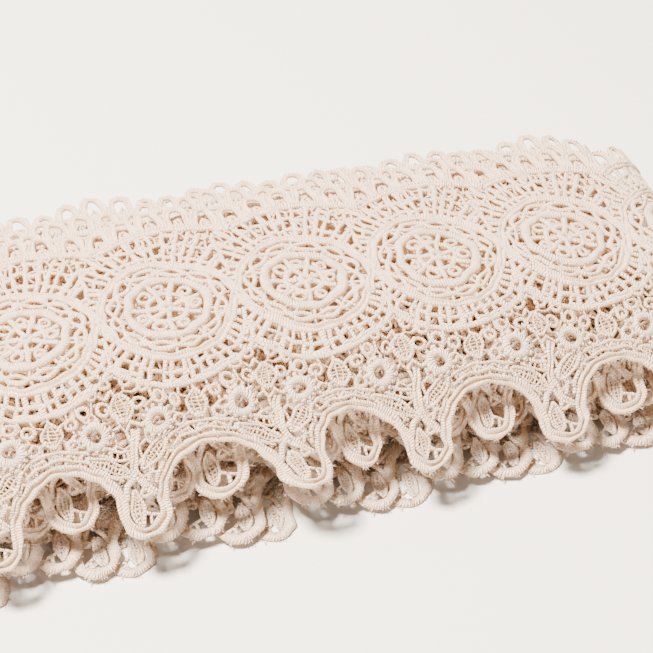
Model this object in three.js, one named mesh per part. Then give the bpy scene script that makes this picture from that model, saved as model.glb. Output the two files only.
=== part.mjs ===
// A flat-wound roll of scalloped lace trim, in millimetres, +Z up.
// One long lace band is wound round itself without a core: runs lie over each other along X,
// round turns join them at both ends, and the band's width lies along Y with the finger
// scallops in front (-Y) and the looped heading behind. The stack is crowned, so the upper
// runs droop towards the fingers, and the turns have slid a little past each other.
import * as THREE from "three";

// Driving dimensions
const REPEAT = 35; // length of one pattern repeat along the band
const CLOTH = 1; // thickness of the lace
const HALF = CLOTH / 2;
const ROUND_STEP = 3.6; // longest chord along a round turn
const LEAST_STEP = 0.7; // no two section lines stand closer than this

// The wound band, from its outer end under the roll to its inner end.
// level: height of the run where the roll is highest; fingerAt: x of one of its fingers;
// endsNear: x close to which the run turns; reach: how far the round turn stands out past it;
// slideFrom, slideTo: how far the run has slid back at its start and at its end.
const OUTER_END = -99;
const RUNS = [
  { level: HALF, fingerAt: 13, endsNear: 94, reach: 13, slideFrom: 7, slideTo: 10 },
  { level: 37.5, fingerAt: 17.5, endsNear: -90, reach: 13, slideFrom: 0, slideTo: 0 },
  { level: 5.4, fingerAt: 4.8, endsNear: 90, reach: 9.5, slideFrom: 8, slideTo: 9.5 },
  { level: 32.3, fingerAt: 1.5, endsNear: -90, reach: 7, slideFrom: 8.5, slideTo: 10.5 },
  { level: 10.3, fingerAt: -3.7, endsNear: 88, reach: 6, slideFrom: 11, slideTo: 9.5 },
  { level: 27.2, fingerAt: -8.5, endsNear: -88, reach: 4.6, slideFrom: 17, slideTo: 15 },
  { level: 15.2, fingerAt: 22, endsNear: 82, reach: 1.6, slideFrom: 11, slideTo: 8 },
  { level: 22.2, fingerAt: 7.7, endsNear: -78, reach: 0, slideFrom: 15, slideTo: 30 },
];
const TOP_RUN = 1; // the run that shows from above

// How high the stack stands across the band, as a share of its greatest height.
// across: distance from the finger tips, measured along the cloth.
const CROWN = [
  { across: 0, share: 0.33 },
  { across: 24, share: 0.76 },
  { across: 46, share: 1 },
  { across: 75, share: 0.965 },
  { across: 100, share: 0.89 },
];
const CROWN_ROW = 46; // the row of the band that all runs keep in line
const FRONT_ROW = 24; // the fingers end here
const HEADING_ROW = 75; // the looped heading starts here

// The stack is highest at x = -25 and falls off towards both ends.
const SADDLE = { at: -25, half: 92, fall: 0.12 };
// One finger of the upper runs is pushed up and along.
const RUMPLE = { at: -17, half: 26, lift: 0.1, push: 5.5 };

// Scalloped edges. A finger hangs between two arched notches in each repeat.
const FINGER = { radius: 6.3, cell: 7 };
const NOTCH = { radius: 11.2, springs: 7 };
const FINGER_POINTS = [-6.2, -5.2, -2.9, 0, 2.9, 5.2, 6.2]; // from the finger's middle
const NOTCH_POINTS = [-7.6, -4, 4, 7.6]; // from the notch's middle
const FINGER_EYE = { along: 1.3, across: 7.6, wide: 2.2, high: 3, sides: 5 };
// Loops of the heading: at is measured from the middle of the notch.
const HEADING_FOOT = 90;
const LOOPS = [
  { at: -17.5, crest: 95.2, half: 3.4 },
  { at: -10.5, crest: 94, half: 3.4 },
  { at: -3.5, crest: 96.6, half: 3.5 },
  { at: 3.5, crest: 98.2, half: 3.5 },
  { at: 10.5, crest: 97.4, half: 3.5 },
];
const LOOP_POINTS = [-3.4, -1.6, 1.6]; // from each loop's middle
const LOOP_EYE = { along: 3.5, across: 91.2, wide: 2.1, high: 2.5, sides: 5 };

// The line that the middle of the cloth follows, seen from the front: runs and half ellipses.
function roundTurn(x, run, next) {
  const rising = next.level > run.level;
  const from = rising ? -Math.PI / 2 : Math.PI / 2;
  return new THREE.EllipseCurve(
    x,
    (run.level + next.level) / 2,
    run.reach,
    Math.abs(next.level - run.level) / 2,
    from,
    from + Math.PI,
  );
}

// Where a run turns: whole repeats of the band lie between its finger and the next run's finger.
function turnsAt(run, next) {
  const side = Math.sign(run.endsNear);
  const fingers = run.fingerAt + next.fingerAt;
  const turn = roundTurn(run.endsNear, run, next).getLength();
  const repeats = Math.round((side * (2 * run.endsNear - fingers) + turn) / REPEAT);
  return (fingers + side * (repeats * REPEAT - turn)) / 2;
}

function windingLine() {
  const line = new THREE.CurvePath();
  const runs = []; // where each run and turn starts along the band
  let x = OUTER_END;
  let length = 0;
  const add = (curve) => {
    line.add(curve);
    const start = length;
    length += curve.getLength();
    return { start, end: length };
  };
  RUNS.forEach((run, i) => {
    const next = RUNS[i + 1];
    const to = next ? turnsAt(run, next) : run.endsNear;
    const flat = new THREE.LineCurve(
      new THREE.Vector2(x, run.level),
      new THREE.Vector2(to, run.level),
    );
    const piece = { straight: add(flat), from: x, to };
    if (next) piece.turn = add(roundTurn(to, run, next));
    runs.push(piece);
    x = to;
  });
  return { line, runs, length: line.getLength() };
}

const winding = windingLine();

// Place along the band where the top run crosses x = 0: the middle of a medallion.
const PATTERN_START = (() => {
  const { straight, from } = winding.runs[TOP_RUN];
  return straight.start + Math.abs(from);
})();

// Pattern coordinate: distance from the nearest notch middle, along +X on the top run.
function patternAt(along) {
  const q = PATTERN_START - along;
  return q - REPEAT * Math.round(q / REPEAT);
}

function slideAt(along) {
  const stops = winding.runs.flatMap(({ straight }, i) => [
    { at: straight.start, slide: RUNS[i].slideFrom },
    { at: straight.end, slide: RUNS[i].slideTo },
  ]);
  const i = stops.findIndex((stop) => stop.at > along);
  if (i < 0) return stops.at(-1).slide;
  const [from, to] = [stops[i - 1], stops[i]];
  return THREE.MathUtils.mapLinear(along, from.at, to.at, from.slide, to.slide);
}

function crownShare(across) {
  const i = Math.max(1, CROWN.findIndex((c) => c.across >= across));
  const [a, b] = [CROWN[i - 1], CROWN[i]];
  return THREE.MathUtils.mapLinear(across, a.across, b.across, a.share, b.share);
}

function bump(x) {
  const far = Math.abs(x - RUMPLE.at) / RUMPLE.half;
  return far < 1 ? Math.cos((far * Math.PI) / 2) ** 2 : 0;
}

function nearFront(across) {
  return Math.max(0, 1 - across / FRONT_ROW);
}

function rise(x, across) {
  const saddle = 1 - SADDLE.fall * ((x - SADDLE.at) / SADDLE.half) ** 2;
  return saddle * (crownShare(across) + RUMPLE.lift * bump(x) * nearFront(across));
}

// Depth of a row: each stretch of cloth keeps its length, so the steeper it is the shorter it lies.
function depth(across, level) {
  const stops = [CROWN_ROW, ...CROWN.map((c) => c.across), across]
    .filter((s) => (s - CROWN_ROW) * (s - across) <= 0)
    .sort((a, b) => a - b);
  let y = 0;
  for (let i = 1; i < stops.length; i++) {
    const stretch = stops[i] - stops[i - 1];
    const climb = (level - HALF) * (crownShare(stops[i]) - crownShare(stops[i - 1]));
    y += Math.sqrt(Math.max(0, stretch ** 2 - climb ** 2));
  }
  return across < CROWN_ROW ? -y : y;
}

// A point of the wound cloth: side is 1 on its outer face and -1 on its inner face.
function onRoll(along, across, side) {
  const share = THREE.MathUtils.clamp(along / winding.length, 0, 1);
  const middle = winding.line.getPoint(share);
  const tangent = winding.line.getTangent(share);
  const level = middle.y;
  const height = level / RUNS[TOP_RUN].level;
  const push = RUMPLE.push * bump(middle.x) * nearFront(across) * height;
  return new THREE.Vector3(
    middle.x + push + tangent.y * HALF * side,
    depth(across, level) + slideAt(along),
    HALF + (level - HALF) * rise(middle.x, across) - tangent.x * HALF * side,
  );
}

// Front edge of the flat band: round finger tips, and arched notches between them.
function frontEdge(pattern) {
  const fromNotch = Math.abs(pattern);
  const fromFinger = REPEAT / 2 - fromNotch;
  if (fromFinger < FINGER.radius)
    return FINGER.radius - Math.sqrt(FINGER.radius ** 2 - fromFinger ** 2);
  return NOTCH.springs + Math.sqrt(Math.max(0, NOTCH.radius ** 2 - fromNotch ** 2));
}

// Back edge of the flat band: the crests of the heading's loops.
function backEdge(pattern) {
  const crests = LOOPS.map(({ at, crest, half }) => {
    let off = Math.abs(pattern - at);
    off = Math.min(off, REPEAT - off) / half;
    return off < 1 ? HEADING_FOOT + (crest - HEADING_FOOT) * Math.sqrt(1 - off ** 2) : 0;
  });
  return Math.max(HEADING_FOOT, ...crests);
}

// Section lines of the band: those of the pattern, and closer ones along the round turns.
function sectionLines() {
  const fixed = [0, winding.length];
  const cell = REPEAT / 2 - FINGER.cell;
  for (let k = -80; k <= 80; k++)
    for (const at of [-cell, 0, cell]) fixed.push(PATTERN_START - k * REPEAT - at);
  const lines = fixed.filter((u) => u >= 0 && u <= winding.length);
  for (const { turn } of winding.runs) {
    if (!turn) continue;
    const steps = 2 * Math.max(3, Math.ceil((turn.end - turn.start) / ROUND_STEP / 2));
    for (let i = 0; i <= steps; i++)
      lines.push(THREE.MathUtils.lerp(turn.start, turn.end, i / steps));
  }
  const isTurnMiddle = (u) =>
    winding.runs.some(({ turn }) => turn && Math.abs(u - (turn.start + turn.end) / 2) < 1e-6);
  const kept = [];
  for (const u of lines.sort((a, b) => a - b)) {
    const tooClose = kept.length && u - kept.at(-1) < LEAST_STEP;
    if (!tooClose) kept.push(u);
    else if (isTurnMiddle(u) || u === winding.length) kept[kept.length - 1] = u;
  }
  return kept;
}

// Places along the band where an edge has a corner, between two section lines.
function cornersBetween(from, to, patternPoints) {
  const found = [];
  for (const point of patternPoints) {
    const k = Math.floor((PATTERN_START - point - from) / REPEAT);
    const u = PATTERN_START - point - k * REPEAT;
    if (u > from + LEAST_STEP / 3 && u < to - LEAST_STEP / 3) found.push(u);
  }
  return found.sort((a, b) => a - b);
}

function eyelet(middle, eye) {
  const points = [];
  for (let i = 0; i < eye.sides; i++) {
    const turn = (2 * Math.PI * i) / eye.sides;
    points.push(
      new THREE.Vector2(middle + eye.wide * Math.sin(turn), eye.across + eye.high * Math.cos(turn)),
    );
  }
  return points;
}

// The flat band as triangles with shared points (x: along the band, y: across it).
function flatBand() {
  const points = [];
  const numbers = new Map();
  const triangles = [];
  const numberOf = (p) => {
    const key = `${p.x.toFixed(4)} ${p.y.toFixed(4)}`;
    if (!numbers.has(key)) numbers.set(key, points.push(p) - 1);
    return numbers.get(key);
  };
  const fill = (outline, holes = []) => {
    const all = [outline, ...holes].flat();
    for (const face of THREE.ShapeUtils.triangulateShape(outline, holes)) {
      const [a, b, c] = face.map((i) => all[i]);
      const left = (b.x - a.x) * (c.y - a.y) - (b.y - a.y) * (c.x - a.x) > 0;
      triangles.push((left ? [a, b, c] : [a, c, b]).map(numberOf));
    }
  };
  const at = (u, v) => new THREE.Vector2(u, v);
  const fingerCorners = [
    ...FINGER_POINTS.map((d) => REPEAT / 2 + d),
    ...NOTCH_POINTS,
  ];
  const loopCorners = LOOPS.flatMap((loop) => LOOP_POINTS.map((d) => loop.at + d));
  const lines = sectionLines();
  for (let i = 1; i < lines.length; i++) {
    const [from, to] = [lines[i - 1], lines[i]];
    const middle = (from + to) / 2;
    const pattern = patternAt(middle);
    const isFinger = Math.abs(to - from - 2 * FINGER.cell) < 1e-3;
    const isLoops = Math.abs(to - from - (REPEAT / 2 - FINGER.cell)) < 1e-3;

    const front = [from, ...cornersBetween(from, to, fingerCorners), to];
    const frontLine = front.map((u) => at(u, frontEdge(patternAt(u))));
    const fingerEye = isFinger ? [eyelet(middle - FINGER_EYE.along, FINGER_EYE)] : [];
    fill([...frontLine, at(to, FRONT_ROW), at(from, FRONT_ROW)], fingerEye);

    const rows = [FRONT_ROW, CROWN_ROW, HEADING_ROW];
    for (let r = 1; r < rows.length; r++)
      fill([at(from, rows[r - 1]), at(to, rows[r - 1]), at(to, rows[r]), at(from, rows[r])]);

    const back = [from, ...cornersBetween(from, to, loopCorners), to].reverse();
    const backLine = back.map((u) => at(u, backEdge(patternAt(u))));
    const toEye = pattern - Math.sign(pattern) * LOOP_EYE.along;
    const loopEye = isLoops ? [eyelet(middle + toEye, LOOP_EYE)] : [];
    fill([at(from, HEADING_ROW), at(to, HEADING_ROW), ...backLine], loopEye);
  }
  return { points, triangles };
}

// Gives the flat band its thickness and winds it: both faces, and a wall along every free edge.
function woundBand() {
  const { points, triangles } = flatBand();
  const count = points.length;
  const position = [];
  for (const side of [1, -1])
    for (const p of points) position.push(...onRoll(p.x, p.y, side).toArray());
  const index = [];
  const edges = new Map();
  for (const [a, b, c] of triangles) {
    index.push(a, c, b);
    index.push(a + count, b + count, c + count);
    for (const [s, e] of [[a, b], [b, c], [c, a]]) edges.set(`${s} ${e}`, [s, e]);
  }
  for (const [s, e] of edges.values()) {
    if (edges.has(`${e} ${s}`)) continue;
    index.push(s, e, e + count);
    index.push(s, e + count, s + count);
  }
  const geometry = new THREE.BufferGeometry();
  geometry.setAttribute("position", new THREE.Float32BufferAttribute(position, 3));
  geometry.setIndex(index);
  return geometry;
}

// The origin is under the middle of the roll, on the surface that it lies on.
function centred(geometry) {
  geometry.computeBoundingBox();
  const middle = geometry.boundingBox.getCenter(new THREE.Vector3());
  geometry.translate(-middle.x, -middle.y, -geometry.boundingBox.min.z);
  geometry.computeVertexNormals();
  return geometry;
}

const laceCotton = new THREE.MeshStandardMaterial({
  color: 0xf0e4d6,
  roughness: 0.9,
  metalness: 0,
  side: THREE.DoubleSide,
});

const laceRoll = new THREE.Mesh(centred(woundBand()), laceCotton);
laceRoll.name = "lace_roll";

const roll = new THREE.Group();
roll.name = "roll_of_lace_trim";
roll.add(laceRoll);

export default roll;
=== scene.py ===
"""Looks of a flat-wound roll of scalloped lace trim: every cord of the lace, wound as the solid is."""

import logging
import math
from dataclasses import dataclass, field, replace
from enum import Enum

import bpy
import numpy as np
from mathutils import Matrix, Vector


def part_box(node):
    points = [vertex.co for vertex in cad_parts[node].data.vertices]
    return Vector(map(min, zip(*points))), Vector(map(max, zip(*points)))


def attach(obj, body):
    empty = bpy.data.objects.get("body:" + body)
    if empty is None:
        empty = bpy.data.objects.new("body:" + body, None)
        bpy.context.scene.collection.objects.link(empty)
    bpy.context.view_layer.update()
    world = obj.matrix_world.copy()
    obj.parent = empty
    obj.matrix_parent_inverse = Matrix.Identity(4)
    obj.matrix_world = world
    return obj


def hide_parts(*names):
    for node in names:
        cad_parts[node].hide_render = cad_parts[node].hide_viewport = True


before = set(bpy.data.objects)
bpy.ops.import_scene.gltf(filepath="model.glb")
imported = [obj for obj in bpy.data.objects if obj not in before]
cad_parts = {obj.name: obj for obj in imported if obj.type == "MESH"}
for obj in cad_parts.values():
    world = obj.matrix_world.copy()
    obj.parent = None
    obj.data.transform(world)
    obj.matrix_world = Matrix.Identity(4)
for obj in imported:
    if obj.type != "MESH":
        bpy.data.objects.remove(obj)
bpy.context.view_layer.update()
log = logging.getLogger("lace")

MM = 0.001
REPEAT = 35.0  # length of one pattern repeat along the band
HALF_CLOTH = 0.5
END_HEM = 0.4  # no cord comes closer than this to an end of the band
FLOOR_GAP = 0.03  # height of the lowest threads over the floor

Array = np.ndarray
Tree = bpy.types.NodeTree
Socket = bpy.types.NodeSocket
Pair = tuple[float, float]
Triple = tuple[float, float, float]
Place = Pair
Colour = Triple
Profile = list[Place]
Waves = tuple[tuple[float, float, float, float], ...]


class Section(Enum):
    """Cross-sections of the worked cords."""

    SATIN = "satin"  # one rounded ridge
    TWIN = "twin"  # two ridges with a groove between them
    THREAD = "thread"  # a thin bar of a few threads


class Grade(Enum):
    """How finely a stretch of the band is worked: (section index, step in millimetres)."""

    FINE = (0, 1.0)
    PLAIN = (1, 1.8)
    DEEP = (2, 2.4)


def mirrored(half: Profile) -> Profile:
    """Completes a cross-section that is alike on both sides.

    Args:
        half: Its points from the left edge to the middle.

    Returns:
        All its points.
    """
    return [*half, *((-x, y) for x, y in reversed(half))]


# Cross-sections as (offset as a share of half the width, height as a share of the rise);
# heights below zero are shares of the depth. One for each grade.
SATIN_RIDGE = mirrored([(-1, -0.4), (-0.5, 1)])
THREAD_BAR: Profile = [(-1, -0.4), (0, 1), (1, -0.4)]
SECTIONS: dict[Section, tuple[Profile, ...]] = {
    Section.SATIN: (
        [(-1, -0.3), (-0.72, 0.82), (0, 1), (0.72, 0.82), (1, -0.3)],
        SATIN_RIDGE,
        SATIN_RIDGE,
    ),
    Section.TWIN: (
        mirrored([(-1, -0.2), (-0.94, 0.6), (-0.64, 1), (-0.34, 0.8), (-0.16, 0)]),
        mirrored([(-1, -0.3), (-0.86, 0.85), (-0.38, 1), (-0.15, 0)]),
        mirrored([(-1, -0.3), (-0.8, 0.9), (-0.28, 1), (-0.08, 0.1)]),
    ),
    Section.THREAD: (THREAD_BAR, THREAD_BAR, THREAD_BAR),
}


def waved(along: Array, across: Array, waves: Waves) -> Array:
    """Sum of a set of waves over the band.

    Args:
        along: Distances from the outer end.
        across: Distances from the finger tips.
        waves: Each wave's length along and across the band, start and size.

    Returns:
        The sum at each place.
    """
    return sum(size * np.sin(along / u + across / v + start) for u, v, start, size in waves)


@dataclass(frozen=True)
class Run:
    """One straight run of the wound band and the round turn after it, in millimetres."""

    level: float
    finger_at: float  # x of one of its fingers
    ends_near: float  # x close to which it turns
    reach: float
    slide_from: float
    slide_to: float


@dataclass
class Winding:
    """The shape that the band is wound into, the same as that of the solid, in millimetres."""

    outer_end: float = -99.0
    runs: tuple[Run, ...] = (
        Run(0.5, 13, 94, 13, 7, 10),
        Run(37.5, 17.5, -90, 13, 0, 0),
        Run(5.4, 4.8, 90, 9.5, 8, 9.5),
        Run(32.3, 1.5, -90, 7, 8.5, 10.5),
        Run(10.3, -3.7, 88, 6, 11, 9.5),
        Run(27.2, -8.5, -88, 4.6, 17, 15),
        Run(15.2, 22, 82, 1.6, 11, 8),
        Run(22.2, 7.7, -78, 0, 15, 30),
    )
    crown: tuple[Place, ...] = ((0, 0.33), (24, 0.76), (46, 1), (75, 0.965), (100, 0.89))
    crown_row: float = 46.0
    front_row: float = 24.0
    saddle: Triple = (-25.0, 92.0, 0.12)  # middle, half length, fall
    rumple: tuple[float, float, float, float] = (-17.0, 26.0, 0.1, 5.5)  # middle, half, lift, push
    soften: float = 7.0  # how far the crown's corners are rounded
    ripple: float = 0.28  # size of the cloth's uneven lie
    ripple_waves: Waves = ((6.1, 9.3, 0, 1), (9.7, -5.2, 1, 1))
    wander: float = 0.16  # how far the cords stray, as no two repeats are worked quite alike
    wander_along: Waves = ((0.83, 1.31, 0, 1), (1.57, -0.92, 2, 1), (3.9, 5.3, 0.7, 1.6))
    wander_across: Waves = ((1.13, -0.78, 1, 1), (0.95, 1.71, 4, 1), (5.1, -3.7, 2.3, 1.6))
    nest: float = 2.3  # how far the run under the top one bulges up to it
    nest_run: int = 3
    nest_rows: Triple = (20.0, 91.0, 12.0)  # first, last, length of the slope
    nest_ends: Pair = (8.0, 18.0)  # slope before and after each end of the run
    table_rows: Pair = (-6.0, 108.0)
    table_step: float = 0.5
    table_levels: int = 38
    turn_points: int = 241

    def __post_init__(self) -> None:
        """Works out the winding line, the depths of its rows and its place in the frame."""
        self._wind()
        self._lay_rows()
        low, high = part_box("lace_roll")
        outermost = self.first_turn + self.runs[0].reach + HALF_CLOTH
        self.offset = np.array([high[0] / MM - outermost, low[1] / MM - self._foremost(), 0.0])

    def _wind(self) -> None:
        """Works out the line that the middle of the cloth follows: runs and half ellipses."""
        turns = [self._round_turn(run, after) for run, after in zip(self.runs, self.runs[1:])]
        outer, inner = self.runs[0], self.runs[-1]
        start, end = (self.outer_end, outer.level), (inner.ends_near, inner.level)
        self._x, self._level = np.vstack([start, *turns, end]).T
        self._along = np.r_[0, np.cumsum(np.hypot(np.diff(self._x), np.diff(self._level)))]
        self.length = float(self._along[-1])
        firsts = 1 + self.turn_points * np.arange(len(turns))
        self.starts = [0.0, *self._along[firsts + self.turn_points - 1]]
        self.ends = [*self._along[firsts], self.length]
        self.first_turn = self._x[1]
        self.pattern_start = self.starts[1] + self.first_turn
        self._stops = np.ravel(list(zip(self.starts, self.ends)))
        self._slides = np.ravel([(run.slide_from, run.slide_to) for run in self.runs])

    def _lay_rows(self) -> None:
        """Rounds the crown, and works out how deep each row lies: the steeper the cloth, the less deep."""
        flattest = 0.05
        self._rows = np.arange(*self.table_rows, self.table_step)
        knots = np.array(self.crown)
        before, after = 2 * knots[0] - knots[1], 2 * knots[-1] - knots[-2]
        v, share = np.vstack([before, knots, after]).T
        spread = np.linspace(-self.soften, self.soften, 29)
        self._crown = np.mean([np.interp(self._rows + d, v, share) for d in spread], axis=0)
        self._levels = np.linspace(HALF_CLOTH, self.runs[1].level, self.table_levels)
        climb = (self._levels[:, None] - HALF_CLOTH) * np.gradient(self._crown, self._rows)
        lie = np.sqrt(np.maximum(flattest, 1 - climb**2))
        steps = (lie[:, 1:] + lie[:, :-1]) * self.table_step / 2
        depth = np.concatenate([np.zeros((len(lie), 1)), np.cumsum(steps, axis=1)], axis=1)
        at_crown = int(round((self.crown_row - self._rows[0]) / self.table_step))
        self._depth = depth - depth[:, at_crown : at_crown + 1]

    def _round_turn(self, run: Run, after: Run) -> Array:
        """The half ellipse that joins a run to the next one.

        It stands where whole repeats of the band lie between a finger of each run.

        Args:
            run: The run that it follows.
            after: The next run.

        Returns:
            Its points, as x and level.
        """
        side = math.copysign(1, run.ends_near)
        t = np.linspace(0, math.pi, self.turn_points)
        out = side * run.reach * np.sin(t)
        up = (after.level - run.level) / 2 * (1 - np.cos(t))
        turn = float(np.hypot(np.diff(out), np.diff(up)).sum())
        fingers = run.finger_at + after.finger_at
        repeats = round((side * (2 * run.ends_near - fingers) + turn) / REPEAT)
        ends_at = (fingers + side * (repeats * REPEAT - turn)) / 2
        return np.stack([ends_at + out, run.level + up], axis=1)

    def _foremost(self) -> float:
        """Finds how far forward the finger tips of the solid reach.

        Returns:
            The least depth of any finger tip.
        """
        tips = np.arange((self.pattern_start - REPEAT / 2) % REPEAT, self.length, REPEAT)
        climb = self.level(tips) - HALF_CLOTH
        depth = np.zeros_like(tips)
        for (v1, s1), (v2, s2) in zip(self.crown[:2], self.crown[1:3]):
            depth -= np.sqrt((v2 - v1) ** 2 - (climb * (s2 - s1)) ** 2)
        return float((depth + np.interp(tips, self._stops, self._slides)).min())

    def surface(self, along: Array, across: Array) -> Array:
        """Middle surface of the wound band.

        Args:
            along: Distances from the outer end.
            across: Distances from the finger tips.

        Returns:
            Points (n, 3) in the row frame.
        """
        x = np.interp(along, self._along, self._x)
        level = self.level(along)
        top = self.runs[1].level
        at, half, lift, push = self.rumple
        far = np.abs(x - at) / half
        bump = np.where(far < 1, np.cos(np.minimum(far, 1) * math.pi / 2) ** 2, 0)
        near = np.maximum(0, 1 - across / self.front_row)
        share = np.interp(across, self._rows, self._crown) + lift * bump * near
        s_at, s_half, fall = self.saddle
        z = HALF_CLOTH + (level - HALF_CLOTH) * (1 - fall * ((x - s_at) / s_half) ** 2) * share
        first, last = self.starts[self.nest_run], self.ends[self.nest_run]
        before, after = self.nest_ends
        stops = [first - before, first + after, last - after, last + before]
        low, high, slope = self.nest_rows
        rows = np.clip(np.minimum(across - low, high - across) / slope, 0, 1)
        z = z + self.nest * np.interp(along, stops, [0, 1, 1, 0]) * rows
        z = z + self.ripple * waved(along, across, self.ripple_waves) * level / top
        li = (level - HALF_CLOTH) / (top - HALF_CLOTH) * (len(self._levels) - 1)
        ri = (across - self._rows[0]) / self.table_step
        i = np.clip(li.astype(int), 0, len(self._levels) - 2)
        j = np.clip(ri.astype(int), 0, len(self._rows) - 2)
        a, b = li - i, ri - j
        d = self._depth
        lower, upper = ((1 - b) * d[k, j] + b * d[k, j + 1] for k in (i, i + 1))
        y = (1 - a) * lower + a * upper
        y = y + np.interp(along, self._stops, self._slides)
        return np.stack([x + push * bump * near * level / top, y, z], axis=-1) + self.offset

    def level(self, along: Array) -> Array:
        """Height of the winding line.

        Args:
            along: Distances from the outer end.

        Returns:
            The heights there.
        """
        return np.interp(along, self._along, self._level)

    def wound(self, along: Array, across: Array, lift: Array) -> Array:
        """Points at given heights over the outer side of the middle surface.

        Args:
            along: Distances from the outer end.
            across: Distances from the finger tips.
            lift: Heights along the outward normal.

        Returns:
            Points (n, 3) in the row frame.
        """
        step = 0.4
        stray_along = self.wander * waved(along, across, self.wander_along)
        stray_across = self.wander * waved(along, across, self.wander_across)
        along, across = along + stray_along, across + stray_across
        run = self.surface(along + step, across) - self.surface(along - step, across)
        width = self.surface(along, across + step) - self.surface(along, across - step)
        normal = np.cross(width, run)
        normal /= np.linalg.norm(normal, axis=1, keepdims=True) + 1e-12
        points = self.surface(along, across) + normal * lift[:, None]
        points[:, 2] = np.maximum(points[:, 2], FLOOR_GAP)
        return points


@dataclass
class Stroke:
    """One worked cord on the flat band: a path with a cross-section, in millimetres."""

    path: Array
    section: Section
    width: float
    rise: float
    depth: float = 0.35
    closed: bool = False
    capped: bool = True
    taper: float = 1.0
    raised: bool = False
    fine: bool = False
    step: float = math.inf
    closeness: float = 1.0


FINE_THREAD = {"section": Section.THREAD, "depth": 0.25, "raised": True, "fine": True}


@dataclass
class LaceMesh:
    """A mesh of cords: points, faces, thread coordinates, and each point's height in the lace, which sets
    its painted shade.
    """

    points: Array
    quads: Array
    quad_uv: Array
    tris: Array
    tri_uv: Array
    relief_shade: Array

    @classmethod
    def joined(cls, parts: list["LaceMesh"]) -> "LaceMesh":
        """Joins meshes into one.

        Args:
            parts: The meshes.

        Returns:
            The joined mesh.
        """
        firsts = np.cumsum([0, *(len(part.points) for part in parts)])
        moved = [
            replace(part, quads=part.quads + first, tris=part.tris + first)
            for part, first in zip(parts, firsts)
        ]
        return cls(*map(np.concatenate, zip(*(vars(part).values() for part in moved))))


def arc(centre: Place | Array, radius: float, start: float, end: float, count: int = 0) -> Array:
    """Points of a circular arc.

    Args:
        centre: Middle of the circle.
        radius: Its radius.
        start: First angle, in degrees.
        end: Last angle, in degrees.
        count: Number of points; 0 chooses about two a millimetre.

    Returns:
        The points (n, 2).
    """
    count = count or max(5, int(radius * abs(math.radians(end - start)) * 2))
    t = np.radians(np.linspace(start, end, count))
    return np.stack([centre[0] + radius * np.cos(t), centre[1] + radius * np.sin(t)], axis=1)


def spline(*knots: Place) -> Array:
    """A smooth curve through a few points.

    Args:
        knots: The points it passes.

    Returns:
        The points (n, 2) of the curve.
    """
    k = np.array(knots, dtype=float)
    k = np.vstack([2 * k[0] - k[1], k, 2 * k[-1] - k[-2]])
    t = np.linspace(0, 1, 9)[:-1, None]
    parts = [
        b + ((c - a) * t + (2 * a - 5 * b + 4 * c - d) * t**2 + (3 * b - a - 3 * c + d) * t**3) / 2
        for a, b, c, d in zip(k, k[1:], k[2:], k[3:])
    ]
    return np.vstack([*parts, k[-2:-1]])


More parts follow.
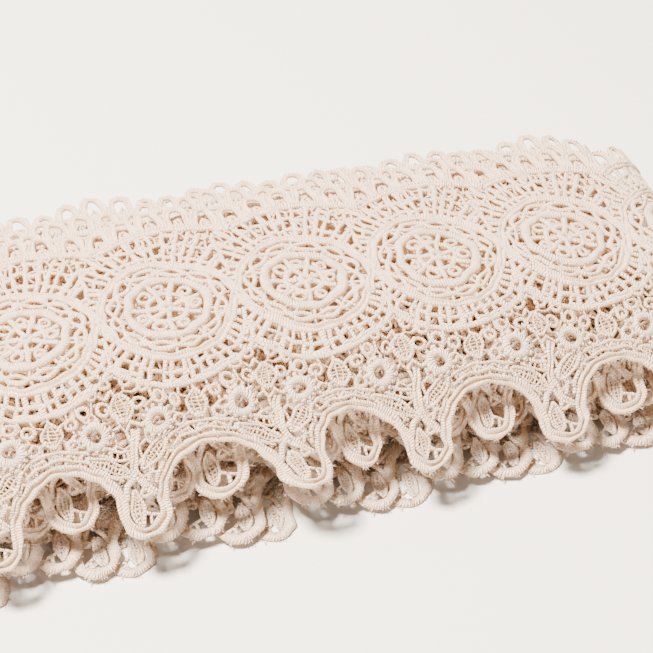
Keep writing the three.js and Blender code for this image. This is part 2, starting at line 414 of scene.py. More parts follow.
@dataclass
class RepeatChart:
    """The charted lace of one repeat: fingers, leaves, flowers, ground, medallion and heading."""

    medallion: Place = (0.0, 57.5)
    finger_radius: float = 4.95
    finger_row: float = 6.3
    notch_radius: float = 12.65
    notch_row: float = 7.0
    border: float = 2.6
    flowers: tuple[Place, ...] = ((-10.0, 26.4), (10.0, 26.4))
    loops: tuple[Place, ...] = ((-17.5, 95.2), (-10.5, 94.0), (-3.5, 96.6), (3.5, 98.2), (10.5, 97.4))
    heading_middle: float = 5.0
    heading_row: float = 88.2
    heading_sag: float = 4.4
    hub: float = 1.2  # radii of the medallion's rings, from the middle out
    wheel: float = 4.8
    satin_ring: float = 9.9
    braid: float = 13.4
    outer_ring: float = 16.6
    net_hem: float = 23.6
    strokes: list[Stroke] = field(default_factory=list)
    discs: list[Triple] = field(default_factory=list)
    lenses: list[tuple[Array, Array, float]] = field(default_factory=list)

    def chart(self) -> list[Stroke]:
        """Charts the whole repeat.

        Returns:
            The strokes of one repeat.
        """
        self._edge()
        self._finger()
        for centre in self.flowers:
            self._flower(centre)
        self._ground_figures()
        self._medallion()
        self._heading()
        self._round_net()
        self._ground_net()
        self._loose_ends()
        return self.strokes

    def _cord(
        self, path: Array, width: float, rise: float, section: Section = Section.SATIN, **more: float | bool
    ) -> None:
        """Adds a cord.

        Args:
            path: Its points.
            width: Its width.
            rise: Its height.
            section: Its cross-section.
            **more: Other fields of the stroke.
        """
        self.strokes.append(Stroke(path, section, width, rise, **more))

    def _ring(self, centre: Place, radius: float, width: float, rise: float) -> None:
        """Adds a closed round cord that stands on the ground of the lace.

        Args:
            centre: Its middle.
            radius: Radius of its middle line.
            width: Its width.
            rise: Its height.
        """
        self._cord(arc(centre, radius, 0, 360)[:-1], width, rise, closed=True, raised=True)

    def _leaf(self, root: Place, tip: Place, half: float) -> None:
        """Adds a lens-shaped leaf with a lattice of fine bars.

        Args:
            root: One end.
            tip: The other end.
            half: Half its greatest width.
        """
        a, b = np.array(root, float), np.array(tip, float)
        long = float(np.linalg.norm(b - a))
        ahead = (b - a) / long
        aside = np.array([-ahead[1], ahead[0]])
        t = np.linspace(0, 1, max(9, int(long * 1.6)))[:, None]
        spread = half * np.sin(math.pi * t) ** 0.8
        for sign in (-1, 1):
            self._cord(a + (b - a) * t + sign * aside * spread, 0.85, 0.56, raised=True)
            self._cord(a + (b - a) * t[::2] + sign * aside * spread[::2] * 0.36, 0.5, 0.34, **FINE_THREAD)
        rungs = int(long / 0.86)
        for i in range(1, rungs):
            s = i / rungs
            middle = a + (b - a) * s
            reach = aside * half * math.sin(math.pi * s) ** 0.8
            lean = ahead * (0.2 if i % 2 else -0.2)
            rung = np.stack([middle - reach - lean, middle, middle + reach + lean])
            self._cord(rung, 0.5, 0.3, **FINE_THREAD)
        self.lenses.append((a, b, half))

    def _ladder(self, rail: Array, gap: float, pitch: float = 1.5, width: float = 0.8) -> None:
        """Adds a braid: two rails with rungs between them.

        Args:
            rail: Points of its middle line.
            gap: Distance between the rails.
            pitch: Distance between the rungs.
            width: Width of a rail.
        """
        along = np.gradient(rail, axis=0)
        along /= np.linalg.norm(along, axis=1, keepdims=True)
        aside = np.stack([-along[:, 1], along[:, 0]], axis=1) * gap / 2
        for sign in (-1, 1):
            self._cord(rail + sign * aside, width, 0.5, raised=True)
        length = np.r_[0, np.cumsum(np.linalg.norm(np.diff(rail, axis=0), axis=1))]
        for s in np.arange(pitch / 2, length[-1], pitch):
            at = [np.interp(s, length, rail[:, i]) for i in (0, 1)]
            off = [np.interp(s, length, aside[:, i]) for i in (0, 1)]
            self._cord(np.array([np.subtract(at, off), at, np.add(at, off)]), 0.6, 0.36, **FINE_THREAD)

    def _edge(self) -> None:
        """Charts the double cord that follows the finger scallops."""
        r, row = self.finger_radius, self.finger_row
        path = np.vstack(
            [
                [[-REPEAT / 2 - 0.4, row - r]],
                arc((-REPEAT / 2, row), r, -90, 0),
                arc((0, self.notch_row), self.notch_radius, 180, 0),
                arc((REPEAT / 2, row), r, 180, 270),
                [[REPEAT / 2 + 0.4, row - r]],
            ]
        )
        shape = {"depth": 0.45, "capped": False, "raised": True, "step": 1.2, "closeness": 1.1}
        self._cord(path, self.border, 0.92, Section.TWIN, **shape)

    def _finger(self) -> None:
        """Charts what fills a finger, the ground over it and the braid over a notch."""

        def at(d: float, v: float) -> Place:
            return (REPEAT / 2 + d, v)

        self._leaf(at(-1.3, 2.9), at(-1.6, 11.3), 1.5)
        for end in (at(-0.2, 5.8), at(3.4, 4.1), at(1.2, 2.4)):
            self._cord(np.array([at(1.5, 4.9), end]), 0.8, 0.44)
        stem = spline(at(1.7, 26), at(0.4, 21.5), at(-0.5, 16.8), at(0.9, 12.6), at(3.6, 9.4))
        self._cord(stem, 2.0, 0.75, Section.TWIN, raised=True)
        self._cord(spline(at(-0.3, 15.4), at(-2.9, 12.4), at(-4.0, 9.2)), 1.5, 0.66, raised=True)
        self._cord(np.array([at(1.4, 11.8), at(0.2, 9.6)]), 1.0, 0.5)
        self._cord(np.array([at(2.6, 9.8), at(1.2, 9.0), at(0.2, 9.4)]), 0.9, 0.5)
        self._leaf(at(-10.8, 21.4), at(-1.4, 14.7), 1.8)
        self._leaf(at(1.2, 16.4), at(8.8, 22.4), 1.8)
        self._ladder(spline(at(-7.0, 22.8), at(-4.0, 20.9), at(-0.6, 20.2)), 1.9)
        for twig in (
            spline(at(-3.6, 13.6), at(-5.4, 15.2), at(-8.2, 17.2)),
            spline(at(2.2, 12.6), at(3.4, 15.0), at(2.6, 17.4)),
            np.array([at(4.0, 12.0), at(4.9, 14.6), at(6.8, 17.0)]),
        ):
            self._cord(twig, 0.9, 0.5)
        self._cord(np.array([at(5.0, 14.8), at(3.3, 15.2)]), 0.8, 0.45)
        self._ladder(arc((0, self.notch_row), 16.1, 122, 62), 2.1, 1.6, 0.85)

    def _flower(self, centre: Place) -> None:
        """Charts a raised ring flower.

        Args:
            centre: Its middle.
        """
        self._ring(centre, 2.5, 2.1, 1.3)
        petals = 13
        for i in range(petals):
            turn = 2 * math.pi * (i + 0.5) / petals
            out = np.array([math.cos(turn), math.sin(turn)])
            path = np.array(centre) + np.outer([2.6, 3.4, 4.15], out)
            self._cord(path, 1.4, 1.02, taper=0.7, raised=True)
        self.discs.append((*centre, 3.6))

    def _ground_figures(self) -> None:
        """Charts the lozenges and small rings of the ground between flowers and medallions."""
        self._leaf((0, 25.2), (0, 32.0), 2.4)
        self._leaf((REPEAT / 2, 28.0), (REPEAT / 2, 35.2), 2.5)
        for q, v in ((4.7, 25.4), (5.0, 30.6), (8.6, 32.6), (13.4, 32.2), (11.2, 36.2), (14.8, 38.2)):
            for sign in (-1, 1):
                centre, radius = (sign * q, v), 1.35
                self._ring(centre, radius, 0.95, 0.56)
                self.discs.append((*centre, radius))

    def _wavy_ring(
        self,
        radius: float,
        waves: tuple[tuple[int, float, float], ...],
        width: float,
        rise: float,
        section: Section = Section.SATIN,
    ) -> None:
        """Adds a closed cord round the medallion that swings in and out.

        Args:
            radius: Radius of its middle line.
            waves: Number, size and start of each swing.
            width: Its width.
            rise: Its height.
            section: Its cross-section.
        """
        turn = np.linspace(0, 2 * math.pi, 161)[:-1]
        swing = radius + sum(size * np.sin(count * turn + start) for count, size, start in waves)
        path = np.array(self.medallion) + swing[:, None] * np.stack([np.cos(turn), np.sin(turn)], axis=1)
        self._cord(path, width, rise, section, closed=True)

    def _medallion(self) -> None:
        """Charts the wheel, its satin ring, the slits round it and the outer double cord."""
        c = self.medallion
        self._wavy_ring(self.satin_ring, ((8, 0.2, 0.4), (3, 0.15, 1.0)), 2.5, 1.0)
        self._ring(c, self.hub, 1.9, 0.85)
        self._ring(c, self.wheel, 1.35, 0.6)
        spokes, bars = 7, 22
        for i in range(spokes):
            turn = math.radians(360 / spokes * i + 12 + 7 * math.sin(2.4 * i))
            out = np.array([math.cos(turn), math.sin(turn)])
            self._cord(np.array(c) + np.outer([1.6, 3.4, 5.2, 7.0, 8.8], out), 1.45, 0.62, raised=True)
            turn += math.radians(180 / spokes)
            middle = np.array(c) + 6.7 * np.array([math.cos(turn), math.sin(turn)])
            self._ring(tuple(middle), 1.35 + 0.25 * math.sin(3.7 * i), 1.05, 0.55)
        for sign in (-1, 1):
            self._wavy_ring(self.braid, ((6, 1.25 * sign, 0.4), (5, 0.3 * sign, 1.7)), 1.25, 0.62)
        self._wavy_ring(self.outer_ring, ((4, 0.3, 0.6), (7, 0.2, 2.0)), 2.35, 0.85, Section.TWIN)
        for i in range(bars):
            turn = math.radians(360 / bars * i + 5 * math.sin(2.9 * i))
            bar = np.outer([10.9, 12.6, 14.2, 15.8], [math.cos(turn), math.sin(turn)])
            self._cord(np.array(c) + bar, 0.95, 0.4, **FINE_THREAD)
        knot = ((-3.6, 47.6), (-1.3, 54.0), (0, 57.5), (1.3, 61.0), (3.6, 67.4))
        for sign in (-1, 1):
            strand = spline(*((REPEAT / 2 + sign * d, v) for d, v in knot))
            self._cord(strand, 2.1, 0.98, Section.TWIN)

    def _sagged(self, off: Array) -> Array:
        """Row of the heading's base cord.

        Args:
            off: Distances from the middle of its swag.

        Returns:
            The rows there.
        """
        return self.heading_row - self.heading_sag * (off / (REPEAT / 2)) ** 2

    def _swag(self, q: float) -> float:
        """Row of the heading's base cord in any repeat.

        Args:
            q: A place along the pattern.

        Returns:
            The row there.
        """
        return float(self._sagged(np.mod(q - self.heading_middle + REPEAT / 2, REPEAT) - REPEAT / 2))

    def _heading(self) -> None:
        """Charts the base cord of the heading and its row of loops."""
        off = np.linspace(-REPEAT / 2 - 0.4, REPEAT / 2 + 0.4, 47)
        base = np.stack([off + self.heading_middle, self._sagged(off)], axis=1)
        self._cord(base, 2.4, 0.95, Section.TWIN)
        t = np.linspace(0, math.pi, 25)
        side = np.sign(np.cos(t)) * np.abs(np.cos(t)) ** 0.6
        half_pitch = REPEAT / len(self.loops) / 2
        for at, crest in self.loops:
            foot = self._swag(at) + 0.5
            high = crest - 0.9 - foot
            loop = np.stack([at - 2.6 * side, foot + high * np.sin(t) ** 0.7], axis=1)
            self._cord(loop, 1.9, 0.8, Section.TWIN, raised=True)
            inner = np.stack([at - 0.8 * side, foot + 0.4 * high * np.sin(t) ** 0.7], axis=1)
            self._cord(inner, 1.1, 0.5)
            between = at + half_pitch
            gusset = [(between, self._swag(between) + up) for up in (0, 2.0, 4.2)]
            self._cord(np.array(gusset), 1.3, 0.5)

    def _round_net(self) -> None:
        """Charts the columns of small squares round the medallion."""
        c = np.array(self.medallion)
        rng = np.random.default_rng(11)
        bars, farthest = 52, 31
        turns = np.radians(360 / bars * (np.arange(bars) + 0.5) + rng.uniform(-1.7, 1.7, bars))

        def inside(p: Array) -> bool:
            if abs(p[0]) > REPEAT / 2 + 0.2:
                return False
            if p[1] > c[1]:
                return bool(p[1] < self._swag(p[0]) - 0.4)
            return bool(np.hypot(*(p - c)) < self.net_hem + 0.2)

        def at(radius: float, turn: float) -> Array:
            return c + radius * np.array([math.cos(turn), math.sin(turn)])

        def bar(first: float, turn: float, widths: Pair) -> None:
            places = [at(r, turn) for r in np.arange(first, farthest, 0.9)]
            held = [p for p in places if inside(p)]
            if len(held) > 1:
                self._cord(np.array(held), rng.uniform(*widths), 0.52)

        for turn, after in zip(turns, np.roll(turns, -1)):
            bar(17.4, turn, (1.05, 1.6))
            between = (turn + (after - turn) % (2 * math.pi) / 2) + rng.uniform(-0.02, 0.02)
            if math.sin(between) < 0:
                bar(26.4, between, (0.95, 1.3))
            radius = 19.6 + rng.uniform(0, 1.4)
            while radius < farthest - 1:
                a, b = at(radius, turn), at(radius + rng.uniform(-0.6, 0.6), after)
                if inside(a) and inside(b):
                    self._cord(np.stack([a, (a + b) / 2, b]), rng.uniform(0.95, 1.4), 0.5)
                radius += rng.uniform(2.3, 3.2) * (1.75 if math.sin(turn) > 0 else 1)
        self._cord(arc(tuple(c), self.net_hem, 222, 318, 40), 1.6, 0.52)
        for rows in ((40.5, 43.0, 45.5, 48.0, 50.5), (64.5, 67.0, 70.0, 73.0, 76.0, 79.0, 81.5)):
            self._cord(np.array([(REPEAT / 2, v) for v in rows]), 1.3, 0.5)

    def _is_ground(self, p: Array) -> bool:
        """Tells whether a place belongs to the open ground.

        Args:
            p: The place.

        Returns:
            True if the net covers it.
        """
        if p[1] < 12.5:
            return False
        for k in (-1, 0, 1):
            q = p[0] - k * REPEAT
            if math.hypot(q, p[1] - self.notch_row) < self.notch_radius + 1.05:
                return False
            if math.hypot(q - self.medallion[0], p[1] - self.medallion[1]) < self.net_hem - 1:
                return False
            if any(math.hypot(q - x, p[1] - y) < r for x, y, r in self.discs):
                return False
            for a, b, half in self.lenses:
                ahead = (b - a) / np.linalg.norm(b - a)
                rel = np.array([q, p[1]]) - a
                s = float(rel @ ahead) / float(np.linalg.norm(b - a))
                off = abs(float(rel @ np.array([-ahead[1], ahead[0]])))
                if 0 < s < 1 and off < half * math.sin(math.pi * s) ** 0.85:
                    return False
        return True

    def _ground_net(self) -> None:
        """Charts the uneven net of the open ground."""
        rng = np.random.default_rng(7)
        columns = 10
        pitch = REPEAT / columns
        side = pitch / math.sqrt(3)
        tall = 1.4
        corners = np.radians([30, 90, 150, 210])
        around_cell = [(side * math.cos(t), tall * side * math.sin(t)) for t in corners]
        moved: dict[tuple[int, int], Array] = {}

        def corner(x: float, y: float) -> Array:
            key = (round((x % REPEAT) * 50) % round(REPEAT * 50), round(y * 50))
            if key not in moved:
                moved[key] = rng.uniform(-0.55, 0.55, 2)
            return np.array([x, y]) + moved[key]

        for row in range(18):
            for column in range(columns):
                x = -REPEAT / 2 + (column + 0.5 * (row % 2)) * pitch
                y = 12.0 + row * 1.5 * side * tall
                around = [corner(x + dx, y + dy) for dx, dy in around_cell]
                for a, b in zip(around, around[1:]):
                    width, rise = rng.uniform(0.65, 1.05), rng.uniform(0.34, 0.44)
                    if not self._is_ground((a + b) / 2):
                        continue
                    over = (b - a) * 0.1
                    path = np.stack([a - over, (a + b) / 2, b + over])
                    self._cord(path, width, rise, Section.THREAD)

    def _loose_ends(self) -> None:
        """Charts short fibre ends that stand out along the cords."""
        rng = np.random.default_rng(23)
        rings = [(*self.medallion, self.satin_ring + 1.3, 14)]
        rings += [(x, y, 3.9, 9) for x, y in self.flowers]
        roots = [
            (arc((x, y), r, 0, 360, 73)[rng.integers(0, 72)], np.array([x, y]))
            for x, y, r, count in rings
            for _ in range(count)
        ]
        notch = np.array([0, self.notch_row])
        for _ in range(30):
            turn = rng.uniform(0, 180)
            inner = rng.random() < 0.5
            radius = self.notch_radius + (-1.3 if inner else 1.3)
            roots.append((arc(notch, radius, turn, turn, 1)[0], notch))
        for _ in range(12):
            turn = rng.uniform(190, 350)
            tip = np.array([REPEAT / 2, self.finger_row])
            roots.append((arc(tip, self.finger_radius + 1.3, turn, turn, 1)[0], tip))
        for root, middle in roots:
            way = (root - middle) / (np.linalg.norm(root - middle) + 1e-9)
            if np.hypot(*(root - notch)) < self.notch_radius:
                way = -way
            way = way + rng.uniform(-0.9, 0.9, 2)
            reach = rng.uniform(0.35, 0.8)
            path = np.stack([root - 0.2 * way, root + 0.5 * reach * way, root + reach * way])
            self._cord(path, 0.17, rng.uniform(0.45, 0.9), Section.THREAD, depth=-0.7, raised=True)


@dataclass
class Weaver:
    """Turns charted strokes into one flat mesh of swept cords."""

    grade: Grade
    buried_rows: Pair = (24.0, 84.0)  # never seen in the deep turns

    def _spaced(self, stroke: Stroke) -> tuple[Array, Array]:
        """Spaces a stroke's points evenly.

        Args:
            stroke: The stroke.

        Returns:
            Its points, and their distances along it.
        """
        path = np.vstack([stroke.path, stroke.path[:1]]) if stroke.closed else stroke.path
        length = np.r_[0, np.cumsum(np.linalg.norm(np.diff(path, axis=0), axis=1))]
        step = min(self.grade.value[1], stroke.step)
        steps = max(8 if stroke.closed else 2, math.ceil(length[-1] / step))
        s = np.linspace(0, length[-1], steps + 1)
        even = np.stack([np.interp(s, length, path[:, i]) for i in (0, 1)], axis=1)
        return (even[:-1], s) if stroke.closed else (even, s)

    def _swept(self, stroke: Stroke) -> LaceMesh:
        """Sweeps the cross-section of a stroke along its path.

        Args:
            stroke: The stroke.

        Returns:
            Its flat mesh, with points as (pattern, across, lift).
        """
        path, s = self._spaced(stroke)
        s = s * stroke.closeness
        n = len(path)
        if stroke.closed:
            ahead = np.roll(path, -1, axis=0) - np.roll(path, 1, axis=0)
        else:
            ahead = np.gradient(path, axis=0)
        ahead /= np.linalg.norm(ahead, axis=1, keepdims=True) + 1e-9
        aside = np.stack([-ahead[:, 1], ahead[:, 0]], axis=1)
        profile = np.array(SECTIONS[stroke.section][self.grade.value[0]])
        m = len(profile)
        width = np.full(n, stroke.width / 2)
        if stroke.taper != 1:
            width *= 1 - (1 - stroke.taper) * np.abs(np.linspace(-1, 1, n)) ** 3
        flat = path[:, None, :] + aside[:, None, :] * (width[:, None] * profile[:, 0])[:, :, None]
        height = profile[:, 1] * np.where(profile[:, 1] >= 0, stroke.rise, stroke.depth)
        lift = np.broadcast_to(height, (n, m))
        rows = np.arange(n if stroke.closed else n - 1)
        i, j = (g.ravel() for g in np.meshgrid(rows, np.arange(m), indexing="ij"))
        i2, j2 = (i + 1) % n, (j + 1) % m
        a1, a2 = profile[j, 0] * stroke.width, profile[j2, 0] * stroke.width
        uv = np.stack([s[i], a1, s[i], a2, s[i + 1], a2, s[i + 1], a1], axis=1)
        caps = np.zeros((0, 3), dtype=int)
        if stroke.capped and not stroke.closed:
            fan = np.array([(0, k, k + 1) for k in range(1, m - 1)])
            caps = np.vstack([fan[:, ::-1], fan + (n - 1) * m])
        return LaceMesh(
            np.concatenate([flat, lift[:, :, None]], axis=2).reshape(-1, 3),
            np.stack([i * m + j, i * m + j2, i2 * m + j2, i2 * m + j], axis=1),
            uv.reshape(-1, 4, 2),
            caps,
            np.zeros((len(caps), 3, 2)),
            # the clipped height sets painted shade: grooves and undersides take the low colour
            np.clip(lift, 0, 1.2).reshape(-1),
        )

    def mesh(self, strokes: list[Stroke]) -> LaceMesh:
        """Sweeps all strokes, less the fine ones where nobody sees them.

        Args:
            strokes: The charted strokes.

        Returns:
            Their joined flat mesh.
        """
        low, high = self.buried_rows

        def shows(stroke: Stroke) -> bool:
            buried = low < float(stroke.path[:, 1].mean()) < high
            return not (self.grade is Grade.DEEP and stroke.fine and buried)

        return LaceMesh.joined([self._swept(stroke) for stroke in strokes if shows(stroke)])


@dataclass
class LaceStretch:
    """A stretch of the wound band as one piece."""

    name: str
    first: float
    last: float
    covered: bool
    covered_rows: Triple = (21.0, 86.0, 3.0)  # rows of painted shade under the turn above: first, last, length of the slope
    back_level: float = 17.0  # runs below this level show their back
    # least relief of runs that show their back, which lessens the painted shade on their undersides
    back_relief: float = 0.5
    shade: Pair = (0.8, 0.35)  # painted shade under the turn above: how far covered cords lose relief, and how far further it drops towards the low colour

    def build(self, winding: Winding, flat: LaceMesh) -> bpy.types.Object:
        """Winds the repeats whose middles lie in this stretch.

        Args:
            winding: Shape of the roll.
            flat: Mesh of one flat repeat.

        Returns:
            The new piece.
        """
        first, last = (math.floor((winding.pattern_start - s) / REPEAT) for s in (self.last, self.first))
        repeats = [self._repeat(winding, flat, k) for k in range(first + 1, last + 1)]
        piece = self._object(LaceMesh.joined(repeats))
        log.info("%s: %d repeats, %d faces", self.name, len(repeats), len(piece.data.polygons))
        return piece

    def _repeat(self, winding: Winding, flat: LaceMesh, number: int) -> LaceMesh:
        """Winds one repeat.

        Args:
            winding: Shape of the roll.
            flat: Mesh of one flat repeat.
            number: Which repeat, counted from the middle of the top run.

        Returns:
            Its mesh, in metres.
        """
        pattern, across, lift = flat.points.T
        along = winding.pattern_start - pattern - number * REPEAT
        inside = (along > END_HEM) & (along < winding.length - END_HEM)
        held = np.clip(along, END_HEM, winding.length - END_HEM)
        # Painted shade: covered stretches take the low colour in the rows that the turn above lies over.
        low, high, slope = self.covered_rows
        cover_shade = self.covered * np.clip(np.minimum(across - low, high - across) / slope, 0, 1)
        shows_back = winding.level(held) < self.back_level
        worked = np.where(shows_back, np.maximum(flat.relief_shade, self.back_relief), flat.relief_shade)
        shade_loss, shade_drop = self.shade
        kept_quads, kept_tris = (inside[faces].all(axis=1) for faces in (flat.quads, flat.tris))
        return LaceMesh(
            winding.wound(held, across, lift) * MM,
            flat.quads[kept_quads],
            flat.quad_uv[kept_quads],
            flat.tris[kept_tris],
            flat.tri_uv[kept_tris],
            worked * (1 - shade_loss * cover_shade) - shade_drop * cover_shade,
        )

    def _object(self, lace: LaceMesh) -> bpy.types.Object:
        """Makes an object from a wound mesh.

        Args:
            lace: The mesh.

        Returns:
            The object.
        """
        quads, tris = lace.quads, lace.tris
        used = np.zeros(len(lace.points), bool)
        used[np.r_[quads.ravel(), tris.ravel()]] = True
        number = np.cumsum(used) - 1
        corners = np.concatenate([number[quads].ravel(), number[tris].ravel()])
        starts = np.concatenate([np.arange(len(quads)) * 4, len(quads) * 4 + np.arange(len(tris)) * 3])
        mesh = bpy.data.meshes.new(self.name)
        mesh.vertices.add(int(used.sum()))
        mesh.vertices.foreach_set("co", lace.points[used].astype(np.float32).ravel())
        mesh.loops.add(len(corners))
        mesh.loops.foreach_set("vertex_index", corners.astype(np.int32))
        mesh.polygons.add(len(starts))
        mesh.polygons.foreach_set("loop_start", starts.astype(np.int32))
        mesh.update(calc_edges=True)
        layer = mesh.uv_layers.new(name="thread")
        uv = np.concatenate([lace.quad_uv.reshape(-1, 2), lace.tri_uv.reshape(-1, 2)])
        layer.data.foreach_set("uv", uv.astype(np.float32).ravel())
        value = mesh.attributes.new("relief_shade", "FLOAT", "POINT")
        value.data.foreach_set("value", lace.relief_shade[used].astype(np.float32))
        mesh.polygons.foreach_set("use_smooth", np.ones(len(starts), dtype=bool))
        mesh.validate()
        piece = bpy.data.objects.new(self.name, mesh)
        bpy.context.scene.collection.objects.link(piece)
        return piece


@dataclass(frozen=True)
class CottonWithPaintedShade:
    """Cream cotton thread with stitches across each cord, with painted shade: a tan low colour on low and
    covered parts, and painted highlight and shade across each stitch.
    """

    name: str = "cream_cotton_painted_shade"
    # low is painted shade: the tan of grooves, undersides and covered turns; high is the lit cream of the
    # raised tops
    low: Colour = (0.88, 0.65, 0.44)
    high: Colour = (1.0, 0.86, 0.74)
    through: Colour = (0.98, 0.81, 0.62)
    translucency: float = 0.38
    roughness: float = 0.38
    gloss: float = 0.6
    sheen: float = 0.15
    stitch: float = 0.72  # from one stitch to the next, in millimetres
    slant: float = 0.2
    looseness: float = 0.5
    uneven_scale: float = 700
    fuzz_scale: float = 2900
    fuzz_height: float = 2.2
    heights: Pair = (-0.25, 0.8)  # in the lace, of the low colour (painted shade) and the high colour (lit cream)
    least_drawn: float = 0.15  # share of the stitches that the lowest cords still show
    furrow: float = 0.27  # how far the stitches darken the colour: painted shade in their troughs, painted highlight on their crests
    fullness: float = 0.24
    bump: float = 0.85
    bump_depth: float = 0.00023  # in metres

    def _stitches(self) -> Tree:
        """Makes the node group that gives colour, with painted shade and painted highlight, and stitch
        height.

        Returns:
            The shader node group.
        """
        group = bpy.data.node_groups.new("cotton_stitches_painted_shade", "ShaderNodeTree")
        face = group.interface
        face.new_socket("Color", in_out="OUTPUT", socket_type="NodeSocketColor")
        face.new_socket("Height", in_out="OUTPUT", socket_type="NodeSocketFloat")
        nodes, links = group.nodes, group.links
        uv = nodes.new("ShaderNodeUVMap")
        uv.uv_map = "thread"
        parts = nodes.new("ShaderNodeSeparateXYZ")
        links.new(uv.outputs["UV"], parts.inputs[0])
        coords = nodes.new("ShaderNodeTexCoord")
        uneven = self._noise(group, coords, self.uneven_scale)
        fuzz = self._noise(group, coords, self.fuzz_scale)
        slant = self._math(group, "MULTIPLY_ADD", parts.outputs["Y"], self.slant, parts.outputs["X"])
        loose = self._math(group, "MULTIPLY_ADD", uneven, self.looseness, slant)
        wave = self._math(group, "SINE", self._math(group, "MULTIPLY", loose, 2 * math.pi / self.stitch))
        relief_shade = nodes.new("ShaderNodeAttribute")
        relief_shade.attribute_name = "relief_shade"
        # Painted shade: the lower a point lies in the lace, the more it takes the low colour.
        shade = nodes.new("ShaderNodeMapRange")
        shade.inputs["From Min"].default_value, shade.inputs["From Max"].default_value = self.heights
        links.new(relief_shade.outputs["Fac"], shade.inputs["Value"])
        clear = self._math(group, "ADD", shade.outputs["Result"], self.least_drawn)
        drawn = self._math(group, "MULTIPLY", wave, clear)
        rough = self._math(group, "MULTIPLY_ADD", fuzz, self.fuzz_height, drawn)
        full = self._math(group, "ADD", fuzz, self.fullness)
        # Painted highlight and shade on each stitch: crests lighter, troughs darker; the fuzz adds uneven
        # tone.
        furrow = self._math(group, "MULTIPLY_ADD", wave, self.furrow, full)
        amount = self._math(group, "MULTIPLY", shade.outputs["Result"], furrow)
        mix = nodes.new("ShaderNodeMix")
        mix.data_type = "RGBA"
        mix.inputs["A"].default_value = (*self.low, 1)
        mix.inputs["B"].default_value = (*self.high, 1)
        links.new(amount, mix.inputs["Factor"])
        out = nodes.new("NodeGroupOutput")
        links.new(mix.outputs["Result"], out.inputs["Color"])
        links.new(rough, out.inputs["Height"])
        return group

    @staticmethod
    def _noise(group: Tree, coords: bpy.types.ShaderNode, scale: float) -> Socket:
        """Adds a noise over the object's own coordinates.

        Args:
            group: Where it goes.
            coords: The coordinates.
            scale: Its scale.

        Returns:
            Its value.
        """
        noise = group.nodes.new("ShaderNodeTexNoise")
        noise.inputs["Scale"].default_value = scale
        noise.inputs["Detail"].default_value = 2
        group.links.new(coords.outputs["Object"], noise.inputs["Vector"])
        return noise.outputs["Fac"]

    @staticmethod
    def _math(group: Tree, kind: str, first: Socket, *others: float | Socket) -> Socket:
        """Adds a math node.

        Args:
            group: Where it goes.
            kind: Its operation.
            first: Its first input.
            *others: Its other inputs, as sockets or numbers.

        Returns:
            Its output.
        """
        node = group.nodes.new("ShaderNodeMath")
        node.operation = kind
        group.links.new(first, node.inputs[0])
        for i, other in enumerate(others, 1):
            if isinstance(other, (int, float)):
                node.inputs[i].default_value = other
            else:
                group.links.new(other, node.inputs[i])
        return node.outputs[0]

    def material(self) -> bpy.types.Material:
        """Makes the material.

        Returns:
            The material.
        """
        material = bpy.data.materials.new(self.name)
        material.use_nodes = True
        nodes, links = material.node_tree.nodes, material.node_tree.links
        shader = nodes["Principled BSDF"]
        shader.inputs["Roughness"].default_value = self.roughness
        shader.inputs["Specular IOR Level"].default_value = self.gloss
        shader.inputs["Sheen Weight"].default_value = self.sheen
        looks = nodes.new("ShaderNodeGroup")
        looks.node_tree = self._stitches()
        bump = nodes.new("ShaderNodeBump")
        bump.inputs["Strength"].default_value = self.bump
        bump.inputs["Distance"].default_value = self.bump_depth
        links.new(looks.outputs["Color"], shader.inputs["Base Color"])
        links.new(looks.outputs["Height"], bump.inputs["Height"])
        links.new(bump.outputs["Normal"], shader.inputs["Normal"])
        through = nodes.new("ShaderNodeBsdfTranslucent")
        through.inputs["Color"].default_value = (*self.through, 1)
        both = nodes.new("ShaderNodeMixShader")
        both.inputs["Fac"].default_value = self.translucency
        links.new(shader.outputs["BSDF"], both.inputs[1])
        links.new(through.outputs["BSDF"], both.inputs[2])
        links.new(both.outputs["Shader"], nodes["Material Output"].inputs["Surface"])
        return material


# The stretches of the band, from its outer end to its inner end.
STRETCHES: dict[str, Grade] = {
    "outer_end": Grade.PLAIN,
    "first_turn": Grade.FINE,
    "second_turn": Grade.PLAIN,
    "third_turn": Grade.DEEP,
    "inner_turn": Grade.DEEP,
}


@dataclass
class LaceRoll:
    """The whole roll: stretches of the band wound over each other."""

    winding: Winding = field(default_factory=Winding)
    cotton_with_painted_shade: CottonWithPaintedShade = field(default_factory=CottonWithPaintedShade)
    past_turn: float = 12.0  # from a round turn to the cut between two stretches

    def build(self) -> None:
        """Builds every stretch and attaches it to the root body."""
        strokes = RepeatChart().chart()
        flats = {
            (grade, raised): Weaver(grade).mesh([x for x in strokes if x.raised == raised])
            for grade in Grade
            for raised in (False, True)
        }
        material = self.cotton_with_painted_shade.material()
        w = self.winding
        left_turns = (w.starts[i] + self.past_turn for i in (2, 4, 6))
        cuts = [0.0, w.ends[0] - self.past_turn, *left_turns, w.length + REPEAT]
        for (name, grade), first, last in zip(STRETCHES.items(), cuts, cuts[1:]):
            # every stretch but the top turn is covered, and gets painted shade under the turn above
            covered = grade is not Grade.FINE
            ground = LaceStretch(f"lace_{name}", first, last, covered).build(w, flats[grade, False])
            cords = LaceStretch(f"cords_{name}", first, last, covered).build(w, flats[grade, True])
            for piece in (ground, cords):
                piece.data.materials.append(material)
                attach(piece, "root")
                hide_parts("lace_roll")


@dataclass(frozen=True)
class Lamp:
    """A soft area light that faces the roll: place and size in metres, power in watts."""

    name: str
    place: Triple
    size: float
    power: float


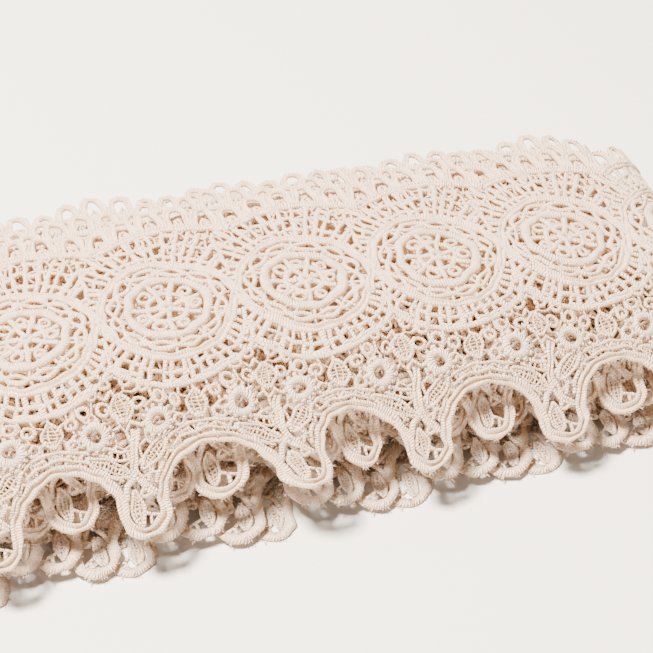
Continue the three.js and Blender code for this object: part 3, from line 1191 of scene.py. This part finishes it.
@dataclass
class Studio:
    """Pale floor, soft lights and the camera at the photo's angle."""

    azimuth: float = -17.4
    elevation: float = 43.0
    distance: float = 480.0
    lens: float = 104.0
    target: Triple = (5.4, 10.5, 20.0)
    lamps: tuple[Lamp, ...] = (
        Lamp("key", (-0.34, 0.04, 0.9), 0.2, 84.0),
        Lamp("fill", (0.25, -0.85, 0.4), 0.6, 2.5),
        Lamp("back", (0.2, 0.75, 0.7), 0.6, 8.0),
    )
    lamp_aim: Triple = (0.0, 0.0, 0.02)
    lamp_colour: Colour = (1.0, 0.9, 0.79)
    room_colour: Colour = (1.0, 0.95, 0.9)
    room_strength: float = 0.2
    floor_size: float = 6.0
    floor_colour: Colour = (0.6, 0.59, 0.575)
    floor_roughness: float = 0.9

    def build(self, offset: Array) -> None:
        """Sets up the studio.

        Args:
            offset: Place of the winding's own origin in the row frame, in millimetres.
        """
        self._floor()
        for lamp in self.lamps:
            self._light(lamp)
        world = bpy.data.worlds.new("soft_room")
        world.use_nodes = True
        room = world.node_tree.nodes["Background"]
        room.inputs["Color"].default_value = (*self.room_colour, 1)
        room.inputs["Strength"].default_value = self.room_strength
        bpy.context.scene.world = world
        self._camera(offset)

    def _floor(self) -> None:
        """Lays the floor."""
        bpy.ops.object.select_all(action="DESELECT")
        bpy.ops.mesh.primitive_plane_add(size=self.floor_size, location=(0, 0, 0))
        floor = bpy.context.object
        floor.name = "floor"
        material = bpy.data.materials.new("pale_floor")
        material.use_nodes = True
        shader = material.node_tree.nodes["Principled BSDF"]
        shader.inputs["Base Color"].default_value = (*self.floor_colour, 1)
        shader.inputs["Roughness"].default_value = self.floor_roughness
        floor.data.materials.append(material)

    def _light(self, lamp: Lamp) -> None:
        """Adds a light.

        Args:
            lamp: The light.
        """
        bpy.ops.object.select_all(action="DESELECT")
        bpy.ops.object.light_add(type="AREA", location=lamp.place)
        light = bpy.context.object
        light.name = lamp.name
        light.data.size = lamp.size
        light.data.energy = lamp.power
        light.data.color = self.lamp_colour
        ahead = Vector(self.lamp_aim) - Vector(lamp.place)
        light.rotation_euler = ahead.to_track_quat("-Z", "Y").to_euler()

    def _camera(self, offset: Array) -> None:
        """Places the camera.

        Args:
            offset: Place of the winding's own origin in the row frame, in millimetres.
        """
        aim = Vector((np.array(self.target) + offset) * MM)
        a, e = math.radians(self.azimuth), math.radians(self.elevation)
        back = Vector((math.sin(a) * math.cos(e), -math.cos(a) * math.cos(e), math.sin(e)))
        data = bpy.data.cameras.new("photo_view")
        data.lens = self.lens
        data.sensor_width = 36.0
        data.clip_start = 0.01
        camera = bpy.data.objects.new("photo_view", data)
        camera.location = aim + back * self.distance * MM
        camera.rotation_euler = (-back).to_track_quat("-Z", "Y").to_euler()
        bpy.context.scene.collection.objects.link(camera)
        bpy.context.scene.camera = camera


def main() -> None:
    """Builds the roll and the studio in order."""
    logging.basicConfig(level=logging.INFO, format="%(name)s: %(message)s")
    roll = LaceRoll()
    roll.build()
    Studio().build(roll.winding.offset)


if __name__ == "__main__":
    main()
